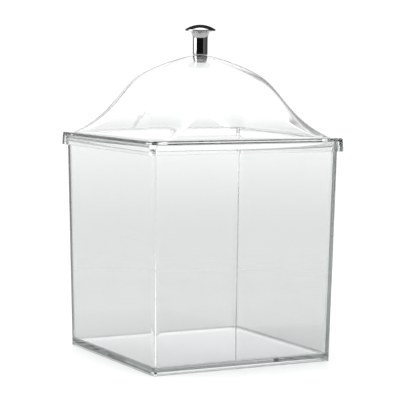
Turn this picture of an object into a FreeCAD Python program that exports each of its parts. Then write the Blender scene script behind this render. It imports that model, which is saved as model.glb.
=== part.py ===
import FreeCAD, Part
import math
import os
import Sketcher

# Square storage jar: a clear tapering jar, a clear lid with a bell-shaped dome,
# and a metal knob held on the crown by a screw and a washer from below.
# The origin is the middle of the foot's underside, and +Z is up.

doc = FreeCAD.newDocument("SquareStorageJar")

# Lengths are in millimetres and the draft is in degrees.
sizes = {
    # jar body
    "body_side": 131.1,
    "body_height": 141.5,
    "body_wall": 2.0,
    "body_corner": 1.5,
    "inner_corner": 3.0,
    "body_draft": 1.05,
    "floor_thickness": 2.4,
    "floor_round": 1.4,
    "foot_height": 2.0,
    "foot_width": 2.6,
    "rim_round": 0.6,
    # lid: plate and skirt
    "lid_gap": 0.5,
    "skirt_wall": 1.9,
    "skirt_depth": 6.3,
    "skirt_draft": 3.0,
    "plate_thickness": 2.2,
    "plate_round": 1.2,
    "lid_corner": 1.5,
    "land_width": 3.25,
    # lid: dome, whose side is a bell curve of two arcs with four guide points
    "dome_height": 51.4,
    "dome_wall": 2.0,
    "dome_corner": 9.0,
    "flare_inset": 14.2,
    "flare_rise": 10.8,
    "flank_inset": 15.2,
    "flank_rise": 26.2,
    "shoulder_inset": 33.5,
    "shoulder_drop": 5.5,
    "crown_reach": 2.0,
    "seat_radius": 5.6,
    # knob
    "knob_height": 20.0,
    "cap_diameter": 20.8,
    "cap_rise": 3.4,
    "cap_edge": 0.9,
    "cap_undercut": 0.7,
    "neck_diameter": 12.5,
    "neck_height": 4.6,
    "stem_diameter": 10.3,
    "stem_chamfer": 0.8,
    # screw and washer
    "screw_diameter": 4.0,
    "thread_clearance": 0.1,
    "screw_reach": 7.0,
    "bore_end_gap": 1.5,
    "hole_clearance": 0.25,
    "washer_diameter": 10.0,
    "washer_thickness": 1.0,
    "head_diameter": 9.0,
    "head_height": 2.3,
    "head_round": 1.7,
    "slot_width": 1.1,
    "slot_depth": 1.2,
}

sheet = doc.addObject("Spreadsheet::Sheet", "Sizes")
for row, (name, value) in enumerate(sizes.items(), start=1):
    sheet.set(f"A{row}", name)
    sheet.set(f"B{row}", str(value))
    sheet.setAlias(f"B{row}", name)
doc.recompute()


def size(name):
    """The expression that reads one size from the sheet."""
    return f"Sizes.{name}"


# Half widths and heights that several pieces share
RIM_HALF = f"{size('body_side')} / 2"
RIM_INSIDE = f"({RIM_HALF} - {size('body_wall')})"
FOOT_HALF = f"({RIM_HALF} - {size('body_height')} * tan({size('body_draft')}))"
FLOOR_TOP = f"({size('foot_height')} + {size('floor_thickness')})"
SKIRT_INSIDE = f"({RIM_HALF} + {size('lid_gap')})"
LID_HALF = f"({SKIRT_INSIDE} + {size('skirt_wall')})"
SKIRT_CORNER = f"({size('body_corner')} + {size('lid_gap')})"
SKIRT_BOTTOM = f"({size('body_height')} - {size('skirt_depth')})"
PLATE_TOP = f"({size('body_height')} + {size('plate_thickness')})"
DOME_HALF = f"({LID_HALF} - {size('land_width')})"
CROWN = f"({PLATE_TOP} + {size('dome_height')})"
CEILING = f"({CROWN} - {size('dome_wall')})"
WASHER_BOTTOM = f"({CEILING} - {size('washer_thickness')})"
SCREW_HOLE = f"({size('screw_diameter')} / 2 + {size('hole_clearance')})"
SCREW_TOP = f"({CROWN} + {size('screw_reach')})"

# The dome's plan is a rounded square at its base, and this near to a circle at its crown
CROWN_ROUNDNESS = 0.98
DOME_RINGS = 12


def plane(body, role):
    """One of the body's own origin planes."""
    return [feature for feature in body.Origin.OriginFeatures if feature.Role == role][0]


def new_sketch(body, name, role, height=None):
    sketch = body.newObject("Sketcher::SketchObject", name)
    sketch.AttachmentSupport = [(plane(body, role), "")]
    sketch.MapMode = "FlatFace"
    if height:
        sketch.setExpression("AttachmentOffset.Base.z", height)
    return sketch


def drive(sketch, constraint, name, expression):
    """Add a constraint, name it and bind it to an expression."""
    index = sketch.addConstraint(constraint)
    sketch.renameConstraint(index, name)
    sketch.setExpression(f"Constraints.{name}", expression)


def chain(sketch, points):
    """Join the points with straight lines and return the lines' numbers."""
    lines = []
    for start, end in zip(points, points[1:]):
        line = Part.LineSegment(FreeCAD.Vector(*start, 0), FreeCAD.Vector(*end, 0))
        lines.append(sketch.addGeometry(line))
    for first, second in zip(lines, lines[1:]):
        sketch.addConstraint(Sketcher.Constraint("Coincident", first, 2, second, 1))
    return lines


def square_ring(body, name, height, half, corner):
    """A square with rounded corners about the Z axis, at a height."""
    sketch = new_sketch(body, name, "XY_Plane", height)
    out = float(sketch.evalExpression(half))
    radius = float(sketch.evalExpression(corner))
    inner = out - radius
    sides = [((out, -inner), (out, inner)), ((inner, out), (-inner, out)),
             ((-out, inner), (-out, -inner)), ((-inner, -out), (inner, -out))]
    centres = [(inner, inner), (-inner, inner), (-inner, -inner), (inner, -inner)]
    quarter = math.pi / 2
    for turn, (side, centre) in enumerate(zip(sides, centres)):
        start, end = [FreeCAD.Vector(x, y, 0) for x, y in side]
        sketch.addGeometry(Part.LineSegment(start, end))
        circle = Part.Circle(FreeCAD.Vector(*centre, 0), FreeCAD.Vector(0, 0, 1), radius)
        sketch.addGeometry(Part.ArcOfCircle(circle, turn * quarter, (turn + 1) * quarter))
    for line in (0, 2, 4, 6):
        sketch.addConstraint(Sketcher.Constraint("Tangent", line, 2, line + 1, 1))
        sketch.addConstraint(Sketcher.Constraint("Tangent", line + 1, 2, (line + 2) % 8, 1))
    sketch.addConstraint(Sketcher.Constraint("Vertical", 4))
    sketch.addConstraint(Sketcher.Constraint("Horizontal", 6))
    for arc in (3, 5, 7):
        sketch.addConstraint(Sketcher.Constraint("Equal", 1, arc))
    sketch.addConstraint(Sketcher.Constraint("Symmetric", 0, 1, 0, 2, -1))
    sketch.addConstraint(Sketcher.Constraint("Symmetric", 2, 1, 2, 2, -2))
    drive(sketch, Sketcher.Constraint("DistanceX", -1, 1, 0, 1, out), "half_x", half)
    drive(sketch, Sketcher.Constraint("DistanceY", -1, 1, 2, 1, out), "half_y", half)
    drive(sketch, Sketcher.Constraint("Radius", 1, radius), "corner", corner)
    return sketch


def loft(body, kind, name, rings):
    feature = body.newObject(f"PartDesign::{kind}Loft", name)
    feature.Profile = rings[0]
    feature.Sections = rings[1:]
    doc.recompute()
    return feature


def square_outline(body, name, height, half):
    """A square about the Z axis, at a height."""
    sketch = new_sketch(body, name, "XY_Plane", height)
    out = float(sketch.evalExpression(half))
    chain(sketch, [(-out, -out), (out, -out), (out, out), (-out, out), (-out, -out)])
    sketch.addConstraint(Sketcher.Constraint("Coincident", 3, 2, 0, 1))
    for line, way in ((0, "Horizontal"), (1, "Vertical"), (2, "Horizontal"), (3, "Vertical")):
        sketch.addConstraint(Sketcher.Constraint(way, line))
    sketch.addConstraint(Sketcher.Constraint("Symmetric", 0, 1, 1, 2, -1, 1))
    drive(sketch, Sketcher.Constraint("DistanceX", 0, 1, 0, 2, 2 * out), "side_x", f"2 * {half}")
    drive(sketch, Sketcher.Constraint("DistanceY", 1, 1, 1, 2, 2 * out), "side_y", f"2 * {half}")
    return sketch


def tapered(body, kind, name, sketch, length, draft, downward=False):
    """Pad or pocket a square so that it widens or narrows by a draft angle."""
    feature = body.newObject(f"PartDesign::{kind}", name)
    feature.Profile = sketch
    feature.Reversed = downward
    feature.setExpression("Length", length)
    feature.setExpression("TaperAngle", draft)
    doc.recompute()
    return feature


def round_edges(body, name, radius, test):
    """Round the edges of the body so far that pass a test of their bounding box."""
    base = body.Tip
    names = [f"Edge{index}" for index, edge in enumerate(base.Shape.Edges, start=1) if test(edge.BoundBox)]
    fillet = body.newObject("PartDesign::Fillet", name)
    fillet.Base = (base, names)
    fillet.setExpression("Radius", radius)
    doc.recompute()
    return fillet


def level(body, height):
    """A test for edges that lie at a height."""
    place = float(body.evalExpression(height))
    return lambda box: abs(box.ZMin - place) < 0.01 and abs(box.ZMax - place) < 0.01


def between(body, low, high):
    """A test for edges that run from one height to another."""
    bottom, top = [float(body.evalExpression(height)) for height in (low, high)]
    return lambda box: abs(box.ZMin - bottom) < 0.01 and abs(box.ZMax - top) < 0.01


def make_jar_body():
    body = doc.addObject("PartDesign::Body", "jar_body")
    height, draft = size("body_height"), size("body_draft")
    foot = square_outline(body, "foot_outline", None, FOOT_HALF)
    tapered(body, "Pad", "block", foot, height, draft)
    round_edges(body, "outer_corners", size("body_corner"), between(body, "0", height))
    mouth = square_outline(body, "mouth_outline", height, RIM_INSIDE)
    tapered(body, "Pocket", "inside", mouth, f"{height} - {FLOOR_TOP}", f"-{draft}")
    round_edges(body, "inner_corners", size("inner_corner"), between(body, FLOOR_TOP, height))
    round_edges(body, "floor_rounding", size("floor_round"), level(body, FLOOR_TOP))
    round_edges(body, "rim_rounding", size("rim_round"), level(body, height))
    recess_half = f"({FOOT_HALF} - {size('foot_width')})"
    recess = square_ring(body, "recess_outline", None, recess_half, size("inner_corner"))
    pocket = body.newObject("PartDesign::Pocket", "foot_recess")
    pocket.Profile = recess
    pocket.Reversed = True
    pocket.setExpression("Length", size("foot_height"))
    doc.recompute()
    return body


def weigh(shares, points):
    """The weighted sum of four expressions."""
    return "(" + " + ".join(f"{share:.6f} * ({point})" for share, point in zip(shares, points)) + ")"


def bell_curve(place, inset=None):
    """Half width and height of the dome's side, at a place from 0 (base) to 1 (crown).

    With an inset, the point lies that far inside, square to the curve.
    """
    guides = [
        (DOME_HALF, PLATE_TOP),
        (f"{DOME_HALF} - {size('flare_inset')}", f"{PLATE_TOP} + {size('flare_rise')}"),
        (f"{DOME_HALF} - {size('flank_inset')}", f"{PLATE_TOP} + {size('flank_rise')}"),
        (f"{DOME_HALF} - {size('shoulder_inset')}", f"{CROWN} - {size('shoulder_drop')}"),
        (f"{size('seat_radius')} + {size('crown_reach')}", CROWN),
        (size("seat_radius"), CROWN),
    ]
    middle = tuple(f"(({low}) + ({high})) / 2" for low, high in zip(guides[2], guides[3]))
    if place < 0.5:
        points = guides[0:3] + [middle]
        part = 2 * place
    else:
        points = [middle] + guides[3:6]
        part = 2 * place - 1
    rest = 1 - part
    shares = [rest ** 3, 3 * rest ** 2 * part, 3 * rest * part ** 2, part ** 3]
    slopes = [-rest ** 2, rest ** 2 - 2 * rest * part, 2 * rest * part - part ** 2, part ** 2]
    outs, ups = zip(*points)
    half, height = weigh(shares, outs), weigh(shares, ups)
    if inset is None:
        return half, height
    along_out, along_up = weigh(slopes, outs), weigh(slopes, ups)
    length = f"sqrt({along_out} ^ 2 + {along_up} ^ 2)"
    return (f"({half} - {inset} * {along_up} / {length})",
            f"({height} + {inset} * {along_out} / {length})")


def dome_rings(body, name, inset=None):
    """Rings up the dome: a rounded square at the base that turns into a circle at the crown."""
    rings = []
    for index in range(DOME_RINGS + 1):
        place = index / DOME_RINGS
        half, height = bell_curve(place, inset)
        square_share = (1 - place) ** 2
        base_share = f"{size('dome_corner')} / {DOME_HALF}"
        roundness = f"({CROWN_ROUNDNESS} - ({CROWN_ROUNDNESS} - {base_share}) * {square_share:.6f})"
        rings.append(square_ring(body, f"{name}_{index}", height, half, f"{half} * {roundness}"))
    return rings


def make_lid():
    body = doc.addObject("PartDesign::Body", "lid")
    depth, draft = f"{size('plate_thickness')} + {size('skirt_depth')}", size("skirt_draft")
    plate = square_ring(body, "plate_outline", PLATE_TOP, LID_HALF, size("lid_corner"))
    tapered(body, "Pad", "plate_and_skirt", plate, depth, draft, downward=True)
    round_edges(body, "plate_rounding", size("plate_round"), level(body, PLATE_TOP))
    underside = square_ring(body, "underside_outline", size("body_height"), SKIRT_INSIDE, SKIRT_CORNER)
    tapered(body, "Pocket", "skirt_hollow", underside, size("skirt_depth"), draft)
    loft(body, "Additive", "dome", dome_rings(body, "dome_ring"))
    base = square_ring(body, "dome_mouth", size("body_height"), RIM_INSIDE, size("dome_corner"))
    loft(body, "Subtractive", "dome_hollow", [base] + dome_rings(body, "hollow_ring", size("dome_wall")))
    hole = new_sketch(body, "hole_outline", "XY_Plane", CROWN)
    hole.addGeometry(Part.Circle(FreeCAD.Vector(0, 0, 0), FreeCAD.Vector(0, 0, 1), 2.25))
    hole.addConstraint(Sketcher.Constraint("Coincident", 0, 3, -1, 1))
    drive(hole, Sketcher.Constraint("Radius", 0, 2.25), "hole_radius", SCREW_HOLE)
    pocket = body.newObject("PartDesign::Pocket", "screw_hole")
    pocket.Profile = hole
    pocket.setExpression("Length", f"{size('dome_wall')} * 2")
    doc.recompute()
    return body


def turn(body, name, sketch):
    """Turn a sketch about the Z axis."""
    feature = body.newObject("PartDesign::Revolution", name)
    feature.Profile = sketch
    feature.ReferenceAxis = (sketch, ["V_Axis"])
    feature.Angle = 360
    doc.recompute()
    return feature


def profile_sketch(body, name, base):
    """A sketch of half a section, whose own height zero lies at the base."""
    sketch = new_sketch(body, name, "XZ_Plane")
    sketch.setExpression("AttachmentOffset.Base.y", base)
    return sketch


def arc_ends(sketch, arc, first):
    """Numbers of an arc's two ends, the one at the first point leading."""
    start = sketch.getPoint(arc, 1)
    if start.distanceToPoint(FreeCAD.Vector(*first, 0)) < 0.01:
        return 1, 2
    return 2, 1


def make_knob():
    body = doc.addObject("PartDesign::Body", "knob")
    sketch = profile_sketch(body, "knob_outline", CROWN)
    # straight sides: underside, chamfer, stem
    chain(sketch, [(0, 0), (4.2, 0), (4.7, 0.5), (4.7, 11)])
    # trumpet neck, then the cap's underside and edge, the crown, and the axis
    neck = Part.Arc(FreeCAD.Vector(4.7, 11, 0), FreeCAD.Vector(5.0, 13.4, 0), FreeCAD.Vector(6, 15.7, 0))
    sketch.addGeometry(neck)
    chain(sketch, [(6, 15.7), (10.2, 16.4), (10.2, 16.9)])
    crown = Part.Arc(FreeCAD.Vector(10.2, 16.9, 0), FreeCAD.Vector(5, 19.3, 0), FreeCAD.Vector(0, 20, 0))
    sketch.addGeometry(crown)
    chain(sketch, [(0, 20), (0, 0)])
    foot, bevel, stem, neck, under, edge, crown, axis = range(8)
    neck_low, neck_high = arc_ends(sketch, neck, (4.7, 11))
    crown_low, crown_high = arc_ends(sketch, crown, (10.2, 16.9))
    joins = [(stem, 2, neck, neck_low), (neck, neck_high, under, 1), (edge, 2, crown, crown_low),
             (crown, crown_high, axis, 1), (axis, 2, foot, 1)]
    for join in joins:
        sketch.addConstraint(Sketcher.Constraint("Coincident", *join))
    sketch.addConstraint(Sketcher.Constraint("Coincident", foot, 1, -1, 1))
    sketch.addConstraint(Sketcher.Constraint("PointOnObject", axis, 1, -2))
    sketch.addConstraint(Sketcher.Constraint("PointOnObject", crown, 3, -2))
    sketch.addConstraint(Sketcher.Constraint("Horizontal", foot))
    sketch.addConstraint(Sketcher.Constraint("Vertical", stem))
    sketch.addConstraint(Sketcher.Constraint("Vertical", edge))
    sketch.addConstraint(Sketcher.Constraint("Horizontal", stem, 2, neck, 3))
    stem_radius = f"{size('stem_diameter')} / 2"
    chamfer = size("stem_chamfer")
    under_edge = f"({size('knob_height')} - {size('cap_rise')} - {size('cap_edge')})"
    neck_top = f"({under_edge} - {size('cap_undercut')})"
    drive(sketch, Sketcher.Constraint("DistanceX", -1, 1, stem, 1, 4.7), "stem_radius", stem_radius)
    drive(sketch, Sketcher.Constraint("DistanceX", foot, 2, bevel, 2, 0.5), "bevel_out", chamfer)
    drive(sketch, Sketcher.Constraint("DistanceY", foot, 2, bevel, 2, 0.5), "bevel_up", chamfer)
    drive(sketch, Sketcher.Constraint("DistanceY", -1, 1, stem, 2, 11), "neck_low",
          f"{neck_top} - {size('neck_height')}")
    drive(sketch, Sketcher.Constraint("DistanceY", -1, 1, under, 1, 15.7), "neck_high", neck_top)
    drive(sketch, Sketcher.Constraint("DistanceX", -1, 1, under, 1, 6), "neck_radius",
          f"{size('neck_diameter')} / 2")
    drive(sketch, Sketcher.Constraint("DistanceX", -1, 1, edge, 1, 10.2), "cap_radius",
          f"{size('cap_diameter')} / 2")
    drive(sketch, Sketcher.Constraint("DistanceY", -1, 1, edge, 1, 16.4), "cap_low", under_edge)
    drive(sketch, Sketcher.Constraint("DistanceY", edge, 1, edge, 2, 0.5), "cap_edge", size("cap_edge"))
    drive(sketch, Sketcher.Constraint("DistanceY", -1, 1, axis, 1, 20), "top", size("knob_height"))
    turn(body, "knob_turning", sketch)
    bore = new_sketch(body, "bore_outline", "XY_Plane", CROWN)
    bore.addGeometry(Part.Circle(FreeCAD.Vector(0, 0, 0), FreeCAD.Vector(0, 0, 1), 2.1))
    bore.addConstraint(Sketcher.Constraint("Coincident", 0, 3, -1, 1))
    drive(bore, Sketcher.Constraint("Radius", 0, 2.1), "bore_radius",
          f"{size('screw_diameter')} / 2 + {size('thread_clearance')}")
    pocket = body.newObject("PartDesign::Pocket", "knob_bore")
    pocket.Profile = bore
    pocket.Reversed = True
    pocket.setExpression("Length", f"{size('screw_reach')} + {size('bore_end_gap')}")
    doc.recompute()
    return body


def make_knob_screw():
    body = doc.addObject("PartDesign::Body", "knob_screw")
    sketch = profile_sketch(body, "screw_outline", WASHER_BOTTOM)
    # end, shank, seat and side, then the head's rounding, its bottom and the axis
    chain(sketch, [(0, 8), (2, 8), (2, 0), (4, 0), (4, -1)])
    rounding = Part.Circle(FreeCAD.Vector(2.5, -1, 0), FreeCAD.Vector(0, 0, 1), 1.5)
    sketch.addGeometry(Part.ArcOfCircle(rounding, -math.pi / 2, 0))
    chain(sketch, [(2.5, -2.5), (0, -2.5), (0, 8)])
    end, shank, seat, side, corner, bottom, axis = range(7)
    sketch.addConstraint(Sketcher.Constraint("Tangent", side, 2, corner, 2))
    sketch.addConstraint(Sketcher.Constraint("Tangent", corner, 1, bottom, 1))
    sketch.addConstraint(Sketcher.Constraint("Coincident", axis, 2, end, 1))
    sketch.addConstraint(Sketcher.Constraint("PointOnObject", end, 1, -2))
    sketch.addConstraint(Sketcher.Constraint("PointOnObject", axis, 1, -2))
    sketch.addConstraint(Sketcher.Constraint("PointOnObject", seat, 1, -1))
    for line in (end, seat, bottom):
        sketch.addConstraint(Sketcher.Constraint("Horizontal", line))
    for line in (shank, side):
        sketch.addConstraint(Sketcher.Constraint("Vertical", line))
    drive(sketch, Sketcher.Constraint("DistanceX", -1, 1, shank, 1, 2), "shank_radius",
          f"{size('screw_diameter')} / 2")
    drive(sketch, Sketcher.Constraint("DistanceY", -1, 1, shank, 1, 8), "shank_length",
          f"{SCREW_TOP} - {WASHER_BOTTOM}")
    drive(sketch, Sketcher.Constraint("DistanceX", -1, 1, seat, 2, 4), "head_radius",
          f"{size('head_diameter')} / 2")
    drive(sketch, Sketcher.Constraint("DistanceY", bottom, 2, -1, 1, 2.5), "head_height",
          size("head_height"))
    drive(sketch, Sketcher.Constraint("Radius", corner, 1.5), "head_round", size("head_round"))
    turn(body, "screw_turning", sketch)
    slot = new_sketch(body, "slot_outline", "XY_Plane", f"{WASHER_BOTTOM} - {size('head_height')}")
    chain(slot, [(-5, -0.5), (5, -0.5), (5, 0.5), (-5, 0.5), (-5, -0.5)])
    slot.addConstraint(Sketcher.Constraint("Coincident", 3, 2, 0, 1))
    for line, way in ((0, "Horizontal"), (1, "Vertical"), (2, "Horizontal"), (3, "Vertical")):
        slot.addConstraint(Sketcher.Constraint(way, line))
    slot.addConstraint(Sketcher.Constraint("Symmetric", 0, 1, 1, 2, -1, 1))
    drive(slot, Sketcher.Constraint("DistanceX", 0, 1, 0, 2, 10), "slot_length",
          f"{size('head_diameter')} + 2 * {size('slot_width')}")
    drive(slot, Sketcher.Constraint("DistanceY", 1, 1, 1, 2, 1), "slot_width", size("slot_width"))
    pocket = body.newObject("PartDesign::Pocket", "driver_slot")
    pocket.Profile = slot
    pocket.Reversed = True
    pocket.setExpression("Length", size("slot_depth"))
    doc.recompute()
    return body


def make_knob_washer():
    body = doc.addObject("PartDesign::Body", "knob_washer")
    sketch = new_sketch(body, "washer_outline", "XY_Plane", WASHER_BOTTOM)
    for index, (name, radius, expression) in enumerate([
            ("outer_radius", 4.6, f"{size('washer_diameter')} / 2"),
            ("hole_radius", 2.25, SCREW_HOLE)]):
        sketch.addGeometry(Part.Circle(FreeCAD.Vector(0, 0, 0), FreeCAD.Vector(0, 0, 1), radius))
        sketch.addConstraint(Sketcher.Constraint("Coincident", index, 3, -1, 1))
        drive(sketch, Sketcher.Constraint("Radius", index, radius), name, expression)
    pad = body.newObject("PartDesign::Pad", "washer_disc")
    pad.Profile = sketch
    pad.setExpression("Length", size("washer_thickness"))
    doc.recompute()
    return body


pieces = [make_jar_body(), make_lid(), make_knob(), make_knob_screw(), make_knob_washer()]
doc.recompute()

for thing in doc.Objects:
    if "Invalid" in thing.State or "Error" in thing.State:
        raise RuntimeError(f"{thing.Name} failed: {thing.State}")
for piece in pieces:
    if piece.Shape.isNull() or not piece.Shape.isValid() or len(piece.Shape.Solids) != 1:
        raise RuntimeError(f"{piece.Label} is not one sound solid")

os.makedirs("parts", exist_ok=True)
for piece in pieces:
    piece.Shape.exportStep(f"parts/{piece.Label}.step")
    print(piece.Label, "volume", round(piece.Shape.Volume, 1))
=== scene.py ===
import math

import bmesh
import bpy
from mathutils import Matrix, Vector
from mathutils.geometry import interpolate_bezier


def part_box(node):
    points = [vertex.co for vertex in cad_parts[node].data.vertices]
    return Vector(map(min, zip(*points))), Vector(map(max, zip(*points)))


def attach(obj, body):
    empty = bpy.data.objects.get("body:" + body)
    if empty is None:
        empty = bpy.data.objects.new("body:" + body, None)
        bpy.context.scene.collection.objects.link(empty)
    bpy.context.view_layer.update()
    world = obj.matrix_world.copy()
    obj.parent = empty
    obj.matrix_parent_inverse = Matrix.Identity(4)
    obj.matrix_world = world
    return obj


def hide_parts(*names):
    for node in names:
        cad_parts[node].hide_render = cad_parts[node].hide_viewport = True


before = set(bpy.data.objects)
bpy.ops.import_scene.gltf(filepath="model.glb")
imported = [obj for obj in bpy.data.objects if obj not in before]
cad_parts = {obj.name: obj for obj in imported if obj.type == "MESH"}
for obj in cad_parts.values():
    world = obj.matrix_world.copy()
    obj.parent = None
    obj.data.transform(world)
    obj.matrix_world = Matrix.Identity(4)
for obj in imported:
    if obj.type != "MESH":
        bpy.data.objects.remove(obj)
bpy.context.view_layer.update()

mm = 0.001
jarLow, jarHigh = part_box("jar_body")
lidLow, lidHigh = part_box("lid")
knobLow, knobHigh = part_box("knob")
screwLow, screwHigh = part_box("knob_screw")
washerLow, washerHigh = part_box("knob_washer")


# mesh helpers

def squareLathe(bm, outline, steps):
    # walls that follow an outline of (half side, corner radius, height) round a square with rounded corners
    half, corner, height = outline[0]
    place = Matrix.Translation((0, 0, height)) @ Matrix.Rotation(math.pi / 4, 4, "Z")
    square = bmesh.ops.create_circle(bm, cap_ends=False, segments=4, radius=half * math.sqrt(2), matrix=place)
    bmesh.ops.bevel(bm, geom=square["verts"], offset=corner, offset_type="OFFSET", segments=steps,
                    profile=0.5, affect="VERTICES", material=-1)
    rings = [bm.edges[:]]
    for (half, corner, height), (newHalf, newCorner, newHeight) in zip(outline, outline[1:]):
        made = bmesh.ops.extrude_edge_only(bm, edges=rings[-1])["geom"]
        verts = [item for item in made if isinstance(item, bmesh.types.BMVert)]
        for vert in verts:
            centre = Vector((math.copysign(half - corner, vert.co.x), math.copysign(half - corner, vert.co.y), 0))
            arm = (vert.co - centre).xy.to_3d() * newCorner / corner
            vert.co = centre * (newHalf - newCorner) / (half - corner) + arm + Vector((0, 0, newHeight))
        fresh = set(verts)
        rings.append([item for item in made if isinstance(item, bmesh.types.BMEdge) and set(item.verts) <= fresh])
    return rings


def roundOff(bm, ring, amount, steps=4):
    bmesh.ops.bevel(bm, geom=ring, offset=amount, offset_type="OFFSET", segments=steps, profile=0.5,
                    affect="EDGES", material=-1)


def closeRing(bm, ring):
    bmesh.ops.holes_fill(bm, edges=ring, sides=0)


def finishPiece(name, bm, body, node, material, weighted=True):
    bmesh.ops.remove_doubles(bm, verts=bm.verts, dist=0.001 * mm)
    bmesh.ops.recalc_face_normals(bm, faces=bm.faces)
    for face in bm.faces:
        face.smooth = True
    mesh = bpy.data.meshes.new(name)
    bm.to_mesh(mesh)
    bm.free()
    piece = bpy.data.objects.new(name, mesh)
    bpy.context.scene.collection.objects.link(piece)
    mesh.materials.append(material)
    if weighted:                                  # flat walls stay flat beside their roundings
        weights = piece.modifiers.new("Flat walls", "WEIGHTED_NORMAL")
        weights.mode = "FACE_AREA"
        weights.weight = 80
    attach(piece, body)
    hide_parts(node)
    print("made", name, "with", len(mesh.polygons), "faces")
    return piece


# shader helpers

def newGroup(name, inputs, outputs):
    tree = bpy.data.node_groups.new(name, "ShaderNodeTree")
    for label, kind, value in inputs:
        socket = tree.interface.new_socket(label, in_out="INPUT", socket_type=kind)
        if value is not None:
            socket.default_value = value
    for label, kind in outputs:
        tree.interface.new_socket(label, in_out="OUTPUT", socket_type=kind)
    return tree, tree.nodes.new("NodeGroupInput"), tree.nodes.new("NodeGroupOutput")


def feed(tree, value, socket):
    # a link when the value is another node's socket, or else a plain value
    if isinstance(value, bpy.types.NodeSocket):
        tree.links.new(value, socket)
    else:
        socket.default_value = value


def maths(tree, operation, *values):
    node = tree.nodes.new("ShaderNodeMath")
    node.operation = operation
    for value, socket in zip(values, node.inputs):
        feed(tree, value, socket)
    return node.outputs[0]


def remap(tree, value, low, high, toLow=0.0, toHigh=1.0, smooth=False):
    node = tree.nodes.new("ShaderNodeMapRange")
    node.interpolation_type = "SMOOTHSTEP" if smooth else "LINEAR"
    for given, label in ((value, "Value"), (low, "From Min"), (high, "From Max"), (toLow, "To Min"), (toHigh, "To Max")):
        feed(tree, given, node.inputs[label])
    return node.outputs["Result"]


def blendColors(tree, factor, first, second):
    node = tree.nodes.new("ShaderNodeMix")
    node.data_type = "RGBA"
    feed(tree, factor, node.inputs["Factor"])
    feed(tree, first, node.inputs["A"] if node.inputs["A"].type == "RGBA" else node.inputs[6])
    feed(tree, second, node.inputs["B"] if node.inputs["B"].type == "RGBA" else node.inputs[7])
    return node.outputs[2]


def blendValues(tree, factor, first, second):
    node = tree.nodes.new("ShaderNodeMix")
    feed(tree, factor, node.inputs[0])
    feed(tree, first, node.inputs[2])
    feed(tree, second, node.inputs[3])
    return node.outputs[0]


def noise(tree, vector, scale, detail=2.0, roughness=0.5):
    node = tree.nodes.new("ShaderNodeTexNoise")
    feed(tree, vector, node.inputs["Vector"])
    feed(tree, scale, node.inputs["Scale"])
    node.inputs["Detail"].default_value = detail
    node.inputs["Roughness"].default_value = roughness
    return node.outputs["Fac"]


def buildHairlines():
    # thin scratches: contour lines of noise stretched along three turned directions
    group, given, out = newGroup("Hairlines", [("Vector", "NodeSocketVector", None), ("Scale", "NodeSocketFloat", 60.0),
                                              ("Width", "NodeSocketFloat", 0.02), ("Share", "NodeSocketFloat", 0.4)],
                                 [("Mask", "NodeSocketFloat")])
    total = None
    for turn, shift in ((20.0, 0.0), (-48.0, 3.1), (81.0, 7.7)):
        mapping = group.nodes.new("ShaderNodeMapping")
        mapping.inputs["Location"].default_value = (shift, shift, shift)
        mapping.inputs["Rotation"].default_value = tuple(math.radians(turn * part) for part in (1.0, 0.7, 1.3))
        mapping.inputs["Scale"].default_value = (1.0, 0.06, 1.0)
        group.links.new(given.outputs["Vector"], mapping.inputs["Vector"])
        field = noise(group, mapping.outputs["Vector"], given.outputs["Scale"], 1.0)
        distance = maths(group, "ABSOLUTE", maths(group, "SUBTRACT", field, 0.5))
        line = remap(group, distance, 0.0, given.outputs["Width"], 1.0, 0.0)
        patch = noise(group, mapping.outputs["Vector"], maths(group, "MULTIPLY", given.outputs["Scale"], 0.37), 0.0)
        low = maths(group, "SUBTRACT", 1.0, given.outputs["Share"])
        line = maths(group, "MULTIPLY", line, remap(group, patch, low, maths(group, "ADD", low, 0.08)))
        total = line if total is None else maths(group, "MAXIMUM", total, line)
    group.links.new(total, out.inputs["Mask"])
    return group


def buildSpecks():
    # dust: small round specks, some of them missing
    group, given, out = newGroup("Dust specks", [("Vector", "NodeSocketVector", None), ("Scale", "NodeSocketFloat", 400.0),
                                                ("Size", "NodeSocketFloat", 0.12), ("Share", "NodeSocketFloat", 0.3)],
                                 [("Mask", "NodeSocketFloat")])
    cells = group.nodes.new("ShaderNodeTexVoronoi")
    group.links.new(given.outputs["Vector"], cells.inputs["Vector"])
    group.links.new(given.outputs["Scale"], cells.inputs["Scale"])
    speck = remap(group, cells.outputs["Distance"], 0.0, given.outputs["Size"], 1.0, 0.0)
    chance = group.nodes.new("ShaderNodeSeparateColor")
    group.links.new(cells.outputs["Color"], chance.inputs["Color"])
    kept = maths(group, "LESS_THAN", chance.outputs["Red"], given.outputs["Share"])
    group.links.new(maths(group, "MULTIPLY", speck, kept), out.inputs["Mask"])
    return group


def buildSmudges():
    # soft patches where hands have been
    group, given, out = newGroup("Smudges", [("Vector", "NodeSocketVector", None), ("Scale", "NodeSocketFloat", 20.0),
                                            ("Share", "NodeSocketFloat", 0.4)], [("Mask", "NodeSocketFloat")])
    wide = noise(group, given.outputs["Vector"], given.outputs["Scale"], 3.0, 0.55)
    fine = noise(group, given.outputs["Vector"], maths(group, "MULTIPLY", given.outputs["Scale"], 9.0), 2.0, 0.6)
    low = maths(group, "SUBTRACT", 1.0, given.outputs["Share"])
    patch = remap(group, wide, low, maths(group, "ADD", low, 0.25), smooth=True)
    group.links.new(maths(group, "MULTIPLY", patch, remap(group, fine, 0.3, 0.7)), out.inputs["Mask"])
    return group


hairlines = buildHairlines()
specks = buildSpecks()
smudges = buildSmudges()


def useGroup(tree, group, vector, **values):
    node = tree.nodes.new("ShaderNodeGroup")
    node.node_tree = group
    tree.links.new(vector, node.inputs["Vector"])
    for label, value in values.items():
        node.inputs[label].default_value = value
    return node.outputs["Mask"]


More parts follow.
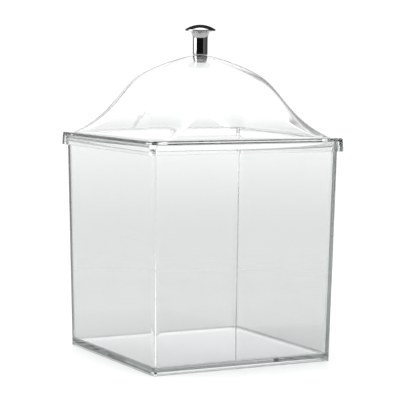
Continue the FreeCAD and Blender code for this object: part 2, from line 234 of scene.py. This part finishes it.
def newMaterial(name):
    material = bpy.data.materials.new(name)
    material.use_nodes = True
    tree = material.node_tree
    shader = next(node for node in tree.nodes if node.type == "BSDF_PRINCIPLED")
    output = next(node for node in tree.nodes if node.type == "OUTPUT_MATERIAL")
    place = tree.nodes.new("ShaderNodeTexCoord").outputs["Object"]
    return material, tree, shader, output, place


def bump(tree, height, strength, distance, before=None):
    node = tree.nodes.new("ShaderNodeBump")
    feed(tree, height, node.inputs["Height"])
    node.inputs["Strength"].default_value = strength
    node.inputs["Distance"].default_value = distance
    if before is not None:
        tree.links.new(before, node.inputs["Normal"])
    return node.outputs["Normal"]


def clearPlastic(name, tint, hazeTint, looks):
    # polished crystal moulding: clear, with faint waves, hairlines and dust
    material, tree, shader, output, place = newMaterial(name)
    lines = useGroup(tree, hairlines, place, Scale=looks["lineScale"], Width=looks["lineWidth"], Share=looks["lineShare"])
    dust = useGroup(tree, specks, place, Scale=looks["dustScale"], Size=looks["dustSize"], Share=looks["dustShare"])
    hands = useGroup(tree, smudges, place, Scale=looks["handScale"], Share=looks["handShare"])
    rough = maths(tree, "MULTIPLY_ADD", lines, looks["lineRough"], looks["rough"])
    rough = maths(tree, "MULTIPLY_ADD", hands, looks["handRough"], rough)
    rough = maths(tree, "MULTIPLY_ADD", dust, looks["dustRough"], rough)
    tree.links.new(rough, shader.inputs["Roughness"])
    flow = noise(tree, place, looks["flowScale"], 1.0)
    tree.links.new(blendColors(tree, flow, tint, hazeTint), shader.inputs["Base Color"])
    waves = bump(tree, noise(tree, place, looks["waveScale"], 0.0), 1.0, looks["waveDepth"])
    tree.links.new(bump(tree, lines, 0.3, looks["lineDepth"], waves), shader.inputs["Normal"])
    shader.inputs["IOR"].default_value = looks["ior"]
    shader.inputs["Transmission Weight"].default_value = 1.0
    clear = tree.nodes.new("ShaderNodeBsdfTransparent")          # lamps shine through the walls
    clear.inputs["Color"].default_value = looks["shadow"]
    lightPath = tree.nodes.new("ShaderNodeLightPath")
    mix = tree.nodes.new("ShaderNodeMixShader")
    blocked = maths(tree, "MAXIMUM", lightPath.outputs["Is Shadow Ray"], lightPath.outputs["Is Diffuse Ray"])
    tree.links.new(blocked, mix.inputs["Fac"])
    tree.links.new(shader.outputs[0], mix.inputs[1])
    tree.links.new(clear.outputs[0], mix.inputs[2])
    tree.links.new(mix.outputs[0], output.inputs["Surface"])
    depth = tree.nodes.new("ShaderNodeVolumeAbsorption")         # long ways through it turn grey-green
    depth.inputs["Color"].default_value = looks["depthColor"]
    depth.inputs["Density"].default_value = looks["depthDensity"]
    tree.links.new(depth.outputs[0], output.inputs["Volume"])
    return material


plasticLooks = {
    "ior": 1.59,
    "rough": 0.0,
    "lineScale": 70.0, "lineWidth": 0.006, "lineShare": 0.38, "lineRough": 0.015, "lineDepth": 0.0000005,
    "dustScale": 320.0, "dustSize": 0.10, "dustShare": 0.12, "dustRough": 0.35,
    "handScale": 18.0, "handShare": 0.42, "handRough": 0.012,
    "flowScale": 9.0,
    "waveScale": 22.0, "waveDepth": 0.00002,
    "depthColor": (0.50, 0.535, 0.525, 1.0), "depthDensity": 12.0,
    "shadow": (0.86, 0.863, 0.865, 1.0),
}
lidLooks = dict(plasticLooks, handShare=0.48, dustShare=0.2, waveDepth=0.000015)
jarPlastic = clearPlastic("Clear jar plastic", (0.985, 0.992, 0.99, 1.0), (0.97, 0.98, 0.982, 1.0), plasticLooks)
lidPlastic = clearPlastic("Clear lid plastic", (0.99, 0.994, 0.992, 1.0), (0.978, 0.984, 0.986, 1.0), lidLooks)


def brightMetal(name, tint, worn, looks):
    # plated metal: bright, with hairlines, handling marks and a faint grain
    material, tree, shader, output, place = newMaterial(name)
    lines = useGroup(tree, hairlines, place, Scale=looks["lineScale"], Width=looks["lineWidth"], Share=looks["lineShare"])
    hands = useGroup(tree, smudges, place, Scale=looks["handScale"], Share=looks["handShare"])
    rough = maths(tree, "MULTIPLY_ADD", lines, looks["lineRough"], looks["rough"])
    rough = maths(tree, "MULTIPLY_ADD", hands, looks["handRough"], rough)
    tree.links.new(rough, shader.inputs["Roughness"])
    tree.links.new(blendColors(tree, hands, tint, worn), shader.inputs["Base Color"])
    shader.inputs["Metallic"].default_value = 1.0
    rings = tree.nodes.new("ShaderNodeTexWave")                  # turning marks round the axis
    rings.wave_type = "RINGS"
    rings.rings_direction = "Z"
    rings.inputs["Scale"].default_value = looks["ringScale"]
    rings.inputs["Distortion"].default_value = 0.4
    tree.links.new(place, rings.inputs["Vector"])
    turned = bump(tree, rings.outputs["Fac"], 1.0, looks["ringDepth"])
    tree.links.new(bump(tree, lines, 0.4, looks["lineDepth"], turned), shader.inputs["Normal"])
    return material


chromeLooks = {
    "rough": 0.03,
    "lineScale": 260.0, "lineWidth": 0.012, "lineShare": 0.42, "lineRough": 0.12, "lineDepth": 0.000002,
    "handScale": 120.0, "handShare": 0.45, "handRough": 0.07,
    "ringScale": 600.0, "ringDepth": 0.0000002,
}
steelLooks = dict(chromeLooks, rough=0.22, lineRough=0.2, ringScale=900.0, ringDepth=0.000004)
knobChrome = brightMetal("Knob chrome", (0.49, 0.495, 0.493, 1.0), (0.45, 0.455, 0.453, 1.0), chromeLooks)
screwSteel = brightMetal("Screw steel", (0.60, 0.60, 0.59, 1.0), (0.50, 0.50, 0.48, 1.0), steelLooks)
print("materials ready")


# jar body

jarSizes = {
    "draft": math.tan(math.radians(1.05)),
    "wall": 2.0 * mm,
    "corner": 1.5 * mm,
    "innerCorner": 3.0 * mm,
    "rimRound": 0.6 * mm,
    "floorTop": 4.4 * mm,
    "floorRound": 1.4 * mm,
    "footHeight": 2.0 * mm,
    "footWidth": 2.6 * mm,
    "footRound": 0.25 * mm,
}


def makeJar():
    s = jarSizes
    rimHalf = jarHigh.x
    rimHeight = jarHigh.z
    footHalf = rimHalf - rimHeight * s["draft"]
    footIn = footHalf - s["footWidth"]
    floorHalf = rimHalf - s["wall"] - (rimHeight - s["floorTop"]) * s["draft"]
    outline = [
        (footIn, s["innerCorner"], s["footHeight"]),
        (footIn, s["innerCorner"], 0),
        (footHalf, s["corner"], 0),
        (rimHalf, s["corner"], rimHeight),
        (rimHalf - s["wall"], s["innerCorner"], rimHeight),
        (floorHalf, s["innerCorner"], s["floorTop"]),
    ]
    bm = bmesh.new()
    recess, footInner, footOuter, rimOuter, rimInner, floorEdge = squareLathe(bm, outline, 10)
    closeRing(bm, recess)
    closeRing(bm, floorEdge)
    bmesh.ops.recalc_face_normals(bm, faces=bm.faces)
    roundOff(bm, rimOuter + rimInner, s["rimRound"])
    roundOff(bm, floorEdge, s["floorRound"], 6)
    roundOff(bm, footOuter + footInner, s["footRound"], 3)
    return finishPiece("JarBody", bm, "jar", "jar_body", jarPlastic)


# lid: plate, skirt and dome

lidSizes = {
    "skirtWall": 1.9 * mm,
    "skirtDraft": math.tan(math.radians(3.0)),
    "skirtDepth": 6.3 * mm,
    "plate": 2.2 * mm,
    "plateRound": 1.2 * mm,
    "corner": 1.5 * mm,
    "insideCorner": 2.0 * mm,
    "lipRound": 0.3 * mm,
    "creaseRound": 0.7 * mm,
    "domeInset": 3.25 * mm,           # land between the plate's edge and the dome's foot
    "domeCorner": 9.0 * mm,
    "domeWall": 2.0 * mm,
    "crownRound": 0.98,
    "seat": 5.6 * mm,
    "seatReach": 2.0 * mm,
    "flare": (14.2 * mm, 10.8 * mm),     # inwards and up from the dome's foot
    "flank": (15.2 * mm, 26.2 * mm),
    "shoulder": (33.5 * mm, 5.5 * mm),   # inwards from the foot, down from the crown
    "hole": 2.25 * mm,
    "rings": 26,                          # on each of the curve's two halves
}


def bellCurve(s, foot, crown, base):
    # the dome's side from its foot to its crown, in the XZ plane
    start = Vector((foot, 0, base))
    flare = Vector((foot - s["flare"][0], 0, base + s["flare"][1]))
    flank = Vector((foot - s["flank"][0], 0, base + s["flank"][1]))
    shoulder = Vector((foot - s["shoulder"][0], 0, crown - s["shoulder"][1]))
    reach = Vector((s["seat"] + s["seatReach"], 0, crown))
    end = Vector((s["seat"], 0, crown))
    middle = (flank + shoulder) / 2
    lower = interpolate_bezier(start, flare, flank, middle, s["rings"] + 1)
    upper = interpolate_bezier(middle, shoulder, reach, end, s["rings"] + 1)
    return lower + upper[1:]


def domeOutline(s, points):
    # rounded squares at the foot that turn into circles at the crown
    footShare = s["domeCorner"] / points[0].x
    outline = []
    for index, point in enumerate(points):
        square = (1 - index / (len(points) - 1)) ** 2
        roundness = s["crownRound"] - (s["crownRound"] - footShare) * square
        outline.append((point.x, point.x * roundness, point.z))
    return outline


def makeLid():
    s = lidSizes
    skirtHalf = lidHigh.x
    crown = lidHigh.z
    skirtBottom = lidLow.z
    underside = skirtBottom + s["skirtDepth"]
    plateTop = underside + s["plate"]
    flareOut = (plateTop - skirtBottom) * s["skirtDraft"]
    flareIn = s["skirtDepth"] * s["skirtDraft"]
    plateHalf = skirtHalf - flareOut
    insideHalf = plateHalf - s["skirtWall"]
    outside = bellCurve(s, plateHalf - s["domeInset"], crown, plateTop)
    inside = []
    for before, point, after in zip([outside[0]] + outside, outside, outside[1:] + [outside[-1]]):
        along = (after - before).normalized()
        inside.append(point + s["domeWall"] * Vector((-along.z, 0, along.x)))
    mouth = (jarHigh.x - jarSizes["wall"], s["domeCorner"], underside)
    outline = [
        mouth,
        (insideHalf, s["insideCorner"], underside),
        (insideHalf + flareIn, s["insideCorner"] + flareIn, skirtBottom),
        (skirtHalf, s["corner"] + flareOut, skirtBottom),
        (plateHalf, s["corner"], plateTop),
    ]
    outline += domeOutline(s, outside)
    outline += [(s["hole"], s["hole"] * 0.99, crown), (s["hole"], s["hole"] * 0.99, crown - s["domeWall"])]
    outline += domeOutline(s, inside)[::-1] + [mouth]
    bm = bmesh.new()
    rings = squareLathe(bm, outline, 16)
    lipInner, lipOuter, plateEdge, domeFoot = rings[2:6]
    bmesh.ops.remove_doubles(bm, verts=bm.verts, dist=0.001 * mm)
    bmesh.ops.recalc_face_normals(bm, faces=bm.faces)
    roundOff(bm, plateEdge, s["plateRound"], 5)
    roundOff(bm, lipOuter + lipInner, s["lipRound"], 3)
    roundOff(bm, domeFoot, s["creaseRound"], 4)
    return finishPiece("Lid", bm, "lid_set", "lid", lidPlastic)


# knob, screw and washer

knobSizes = {
    "stem": 5.15 * mm,
    "chamfer": 0.8 * mm,
    "bore": 2.1 * mm,
    "boreDepth": 8.5 * mm,
    "neckLow": 10.4 * mm,
    "neckHigh": 15.0 * mm,
    "neck": 6.25 * mm,
    "cap": 10.4 * mm,
    "capLow": 15.7 * mm,
    "capEdge": 0.9 * mm,
    "edgeRound": 0.25 * mm,
    "top": 19.98 * mm,
    "lift": 0.02 * mm,               # air under the stem, so that the two faces don't fight
    "steps": 96,
}
screwSizes = {
    "shank": 2.0 * mm,
    "core": 1.62 * mm,
    "pitch": 0.7 * mm,
    "head": 4.5 * mm,
    "headHeight": 2.3 * mm,
    "headRound": 1.7 * mm,
    "slotWidth": 1.1 * mm,
    "slotDepth": 1.2 * mm,
    "washer": 5.0 * mm,
    "hole": 2.25 * mm,
    "washerRound": 0.15 * mm,
    "steps": 64,
}


def spinOutline(bm, points, steps):
    # turn a line of (radius, height) points about the Z axis
    verts = [bm.verts.new((radius, 0, height)) for radius, height in points]
    edges = [bm.edges.new(pair) for pair in zip(verts, verts[1:])]
    bmesh.ops.spin(bm, geom=verts + edges, cent=(0, 0, 0), axis=(0, 0, 1), angle=2 * math.pi, steps=steps,
                   use_merge=True, use_duplicate=False)


def arcPoints(start, end, centre, steps):
    # points along an arc about a centre, both ends included
    first = math.atan2(start[1] - centre[1], start[0] - centre[0])
    last = math.atan2(end[1] - centre[1], end[0] - centre[0])
    radius = math.hypot(start[0] - centre[0], start[1] - centre[1])
    angles = [first + (last - first) * index / steps for index in range(steps + 1)]
    return [(centre[0] + radius * math.cos(angle), centre[1] + radius * math.sin(angle)) for angle in angles]


def makeKnob():
    s = knobSizes
    base = knobLow.z + s["lift"]
    neckRise = s["neckHigh"] - s["neckLow"]
    neckRun = s["neck"] - s["stem"]
    neckRadius = (neckRise ** 2 + neckRun ** 2) / (2 * neckRun)
    edgeTop = s["capLow"] + s["capEdge"]
    capRise = s["top"] - edgeTop
    crownRadius = (s["cap"] ** 2 + capRise ** 2) / (2 * capRise)
    centre = (0, s["top"] - crownRadius)
    r = s["edgeRound"]
    outline = [(0, s["boreDepth"] + 0.8 * mm), (s["bore"], s["boreDepth"]), (s["bore"], 0), (s["stem"] - s["chamfer"], 0),
               (s["stem"], s["chamfer"])]
    outline += arcPoints((s["stem"], s["neckLow"]), (s["neck"], s["neckHigh"]),
                         (s["stem"] + neckRadius, s["neckLow"]), 14)
    outline += [(s["cap"] - r, s["capLow"] - 0.02 * mm), (s["cap"] - 0.3 * r, s["capLow"] + 0.3 * r), (s["cap"], s["capLow"] + r)]
    outline += [(s["cap"], edgeTop - r), (s["cap"] - 0.25 * r, edgeTop)]
    outline += arcPoints((s["cap"] - r, centre[1] + math.sqrt(crownRadius ** 2 - (s["cap"] - r) ** 2)),
                         (0, s["top"]), centre, 24)
    bm = bmesh.new()
    spinOutline(bm, [(radius, base + height) for radius, height in outline], s["steps"])
    return finishPiece("Knob", bm, "lid_set", "knob", knobChrome)


def makeScrew():
    s = screwSizes
    under = washerLow.z
    bottom = under - s["headHeight"]
    bm = bmesh.new()
    r = s["headRound"]
    outline = [(0, bottom)] + arcPoints((s["head"] - r, bottom), (s["head"], bottom + r), (s["head"] - r, bottom + r), 8)
    outline += [(s["head"], under), (s["core"], under), (s["core"], screwHigh.z - 0.3 * mm), (s["core"] - 0.4 * mm, screwHigh.z),
                (0, screwHigh.z)]
    spinOutline(bm, outline, s["steps"])
    # driver slot: two cuts beside it, then the strip between them is pushed in
    for side in (-1, 1):
        geometry = bm.verts[:] + bm.edges[:] + bm.faces[:]
        bmesh.ops.bisect_plane(bm, geom=geometry, plane_co=(0, side * s["slotWidth"] / 2, 0), plane_no=(0, 1, 0))
    floor = [face for face in bm.faces
             if abs(face.calc_center_median().y) < s["slotWidth"] / 2 and face.normal.z < -0.05
             and face.calc_center_median().z < bottom + s["slotDepth"]]
    pushed = bmesh.ops.extrude_face_region(bm, geom=floor)
    for vert in [item for item in pushed["geom"] if isinstance(item, bmesh.types.BMVert)]:
        vert.co.z = bottom + s["slotDepth"]
    bmesh.ops.delete(bm, geom=floor, context="FACES")
    # thread: one ridge wound up the shank
    turns = int((screwHigh.z - under - 1.0 * mm) / s["pitch"])
    start = under + 0.3 * mm
    inner = s["core"] - 0.05 * mm
    ridge = [(inner, start), (s["shank"], start + 0.26 * mm), (s["shank"], start + 0.34 * mm), (inner, start + 0.6 * mm)]
    verts = [bm.verts.new((radius, 0, height)) for radius, height in ridge]
    edges = [bm.edges.new((verts[index], verts[(index + 1) % 4])) for index in range(4)]
    steps = 32 * turns
    bmesh.ops.spin(bm, geom=verts + edges, cent=(0, 0, 0), axis=(0, 0, 1), angle=2 * math.pi * turns, steps=steps,
                   dvec=(0, 0, s["pitch"] / 32), use_merge=False, use_duplicate=False)
    bmesh.ops.holes_fill(bm, edges=[edge for edge in bm.edges if edge.is_boundary], sides=4)
    return finishPiece("KnobScrew", bm, "lid_set", "knob_screw", screwSteel)


def makeWasher():
    s = screwSizes
    low = washerLow.z + 0.01 * mm
    high = washerHigh.z - 0.01 * mm
    bm = bmesh.new()
    verts = [bm.verts.new((radius, 0, height))
             for radius, height in ((s["hole"], low), (s["washer"], low), (s["washer"], high), (s["hole"], high))]
    bm.faces.new(verts)
    bmesh.ops.bevel(bm, geom=verts, offset=s["washerRound"], offset_type="OFFSET", segments=3, profile=0.5,
                    affect="VERTICES", material=-1)
    bmesh.ops.delete(bm, geom=bm.faces[:], context="FACES_ONLY")
    bmesh.ops.spin(bm, geom=list(bm.edges), cent=(0, 0, 0), axis=(0, 0, 1), angle=2 * math.pi, steps=s["steps"],
                   use_merge=True, use_duplicate=False)
    return finishPiece("KnobWasher", bm, "lid_set", "knob_washer", screwSteel)


makeJar()
makeLid()
makeKnob()
makeScrew()
makeWasher()


# studio: floor, surroundings, lamps and camera

studio = {
    "floorRadius": 0.6,
    "floorFade": 0.16,               # where the floor starts to fade into the surroundings
    "heading": 27.642,               # the way that the camera looks, in degrees from +Y towards +X
    "seen": 1.1,                     # brightness straight behind the object
    "table": 1.0,                    # the white table far below the horizon
    "tableTop": (-16.0, -7.0),
    "clearTable": 0.8,              # the same through clear walls
    "clearTop": (-6.5, -0.5),
    "clearNear": 1.6,                # and nearer to it
    "clearFoot": (-24.0, -15.0),
    "tableFront": (132.0, 142.0),    # it comes nearer on the camera's side, and so reaches higher
    "tableLift": 8.0,
    "bandTop": (9.0, 14.0),          # how high the things round the table reach
    "band": [                        # their brightness, by degrees to the right of the heading
        (-126.0, 0.01), (-120.0, 1.7), (-90.0, 1.7), (-84.0, 0.38), (-54.0, 0.38), (-44.0, 1.36), (42.0, 1.36),
        (52.0, 0.09), (75.0, 0.09), (92.0, 0.13), (112.0, 0.18), (130.0, 0.25), (138.0, 0.01),
    ],
    "sky": 1.08,                     # what clear walls gather from high up
    "skyFoot": (12.0, 20.0),
    "shade": 0.35,                   # a dark patch in it, behind the object to the right
    "shadeTurn": 22.0,
    "shadeRise": 25.0,
    "shadeHalf": (5.0, 11.0),
    "lamp": 3.0,                     # the overhead softbox, as the metal shows it
    "lampFoot": (57.0, 59.0),
    "room": 0.04,
    "ambient": 0.58,
}


def makeFloor():
    bm = bmesh.new()
    bmesh.ops.create_circle(bm, cap_ends=True, segments=96, radius=studio["floorRadius"])
    mesh = bpy.data.meshes.new("Floor")
    bm.to_mesh(mesh)
    bm.free()
    floor = bpy.data.objects.new("Floor", mesh)
    bpy.context.scene.collection.objects.link(floor)
    material, tree, shader, output, place = newMaterial("Pale table")
    # painted shade: the floor keeps its pale 0.9 colour for the camera but drops to 0.56 for every other ray, so it
    # reads greyer through the clear walls, in reflections and in the light it bounces
    seen = tree.nodes.new("ShaderNodeLightPath").outputs["Is Camera Ray"]
    tree.links.new(blendColors(tree, seen, (0.56, 0.56, 0.56, 1.0), (0.9, 0.9, 0.9, 1.0)), shader.inputs["Base Color"])
    shader.inputs["Roughness"].default_value = 0.3
    shader.inputs["Specular IOR Level"].default_value = 0.25
    length = tree.nodes.new("ShaderNodeVectorMath")
    length.operation = "LENGTH"
    tree.links.new(place, length.inputs[0])
    fade = remap(tree, length.outputs["Value"], studio["floorFade"], studio["floorRadius"], 1.0, 0.0, smooth=True)
    tree.links.new(fade, shader.inputs["Alpha"])
    mesh.materials.append(material)


def makeWorld():
    world = bpy.data.worlds.new("Studio")
    bpy.context.scene.world = world
    world.use_nodes = True
    tree = world.node_tree
    background = next(node for node in tree.nodes if node.type == "BACKGROUND")
    direction = tree.nodes.new("ShaderNodeTexCoord").outputs["Generated"]
    turned = tree.nodes.new("ShaderNodeVectorRotate")
    turned.rotation_type = "Z_AXIS"
    turned.inputs["Angle"].default_value = math.radians(studio["heading"])
    tree.links.new(direction, turned.inputs["Vector"])
    parts = tree.nodes.new("ShaderNodeSeparateXYZ")
    tree.links.new(turned.outputs["Vector"], parts.inputs["Vector"])
    turn = maths(tree, "ARCTAN2", parts.outputs["X"], parts.outputs["Y"])
    rise = maths(tree, "ARCSINE", parts.outputs["Z"])
    shadeSide = maths(tree, "ABSOLUTE", maths(tree, "SUBTRACT", turn, math.radians(studio["shadeTurn"])))
    shadeRise = maths(tree, "ABSOLUTE", maths(tree, "SUBTRACT", rise, math.radians(studio["shadeRise"])))

    def fadeOut(angle, ends):
        return remap(tree, angle, math.radians(ends[0]), math.radians(ends[1]), 1.0, 0.0, smooth=True)

    around = tree.nodes.new("ShaderNodeValToRGB")
    tree.links.new(remap(tree, turn, -math.pi, math.pi), around.inputs["Fac"])
    stops = around.color_ramp.elements
    while len(stops) < len(studio["band"]):
        stops.new(0.5)
    for stop, (degrees, value) in zip(stops, studio["band"]):
        stop.position = (degrees + 180) / 360
        stop.color = (value, value, value, 1.0)
    level = blendValues(tree, fadeOut(rise, studio["bandTop"]), studio["room"], around.outputs["Color"])
    rays = tree.nodes.new("ShaderNodeLightPath").outputs
    front, back = [math.radians(angle) for angle in studio["tableFront"]]
    lift = remap(tree, maths(tree, "ABSOLUTE", turn), front, back, 0.0, math.radians(studio["tableLift"]), smooth=True)
    clear = maths(tree, "MAXIMUM", rays["Is Singular Ray"], rays["Is Transmission Ray"])
    table = blendValues(tree, clear, fadeOut(rise, studio["tableTop"]),
                        fadeOut(maths(tree, "SUBTRACT", rise, lift), studio["clearTop"]))
    near = blendValues(tree, fadeOut(rise, studio["clearFoot"]), studio["clearTable"], studio["clearNear"])
    level = blendValues(tree, table, level, blendValues(tree, clear, studio["table"], near))
    shown = maths(tree, "SUBTRACT", rays["Is Glossy Ray"], fadeOut(rise, studio["lampFoot"]))
    level = blendValues(tree, maths(tree, "MAXIMUM", shown, 0.0), level, studio["lamp"])
    shaded = maths(tree, "MULTIPLY", fadeOut(shadeSide, studio["shadeHalf"]), fadeOut(shadeRise, studio["shadeHalf"]))
    sky = blendValues(tree, shaded, studio["sky"], studio["shade"])
    high = maths(tree, "SUBTRACT", clear, fadeOut(rise, studio["skyFoot"]))
    level = blendValues(tree, maths(tree, "MAXIMUM", high, 0.0), level, sky)
    level = blendValues(tree, rays["Is Diffuse Ray"], level, studio["ambient"])
    level = blendValues(tree, rays["Is Camera Ray"], level, studio["seen"])
    tree.links.new(level, background.inputs["Strength"])
    background.inputs["Color"].default_value = (1.0, 1.0, 1.0, 1.0)


def softbox(name, heading, rise, distance, width, height, watts):
    lamp = bpy.data.lights.new(name, "AREA")
    lamp.shape = "RECTANGLE"
    lamp.size, lamp.size_y = width, height
    lamp.energy = watts
    box = bpy.data.objects.new(name, lamp)
    bpy.context.scene.collection.objects.link(box)
    a, e = math.radians(heading), math.radians(rise)
    aim = Vector((0, 0, 0.1))
    box.location = aim + distance * Vector((math.sin(a) * math.cos(e), math.cos(a) * math.cos(e), math.sin(e)))
    box.rotation_euler = (box.location - aim).to_track_quat("Z", "Y").to_euler()
    box.visible_camera = False
    return box


def makeCamera():
    sizes = {"distance": 1.0981, "height": 0.19781, "pitch": 5.043, "roll": 0.517, "aside": 0.0398, "lens": 151.65}
    data = bpy.data.cameras.new("Camera")
    data.lens = sizes["lens"]
    data.sensor_width = 36.0
    data.clip_start, data.clip_end = 0.05, 50.0
    camera = bpy.data.objects.new("Camera", data)
    bpy.context.scene.collection.objects.link(camera)
    heading = math.radians(studio["heading"])
    stand = Vector((-math.sin(heading), -math.cos(heading), 0)) * sizes["distance"] + Vector((0, 0, sizes["height"]))
    turn = Matrix.Rotation(-heading - math.radians(sizes["aside"]), 4, "Z")
    tilt = Matrix.Rotation(math.radians(90 - sizes["pitch"]), 4, "X")
    roll = Matrix.Rotation(math.radians(sizes["roll"]), 4, "Z")
    camera.matrix_world = Matrix.Translation(stand) @ turn @ tilt @ roll
    bpy.context.scene.camera = camera


makeFloor()
makeWorld()
softbox("Left softbox", studio["heading"] - 104.0, 20.0, 1.7, 1.0, 1.4, 14.0)
overhead = softbox("Overhead softbox", studio["heading"], 88.0, 1.3, 1.5, 1.5, 21.0)
overhead.visible_glossy = overhead.visible_transmission = False
makeCamera()
bpy.context.scene.view_settings.view_transform = "Standard"
cycles = bpy.context.scene.cycles            # light runs a long way inside the walls' edges
cycles.max_bounces = cycles.glossy_bounces = cycles.transmission_bounces = 200
cycles.transparent_max_bounces = 24
print("studio ready")
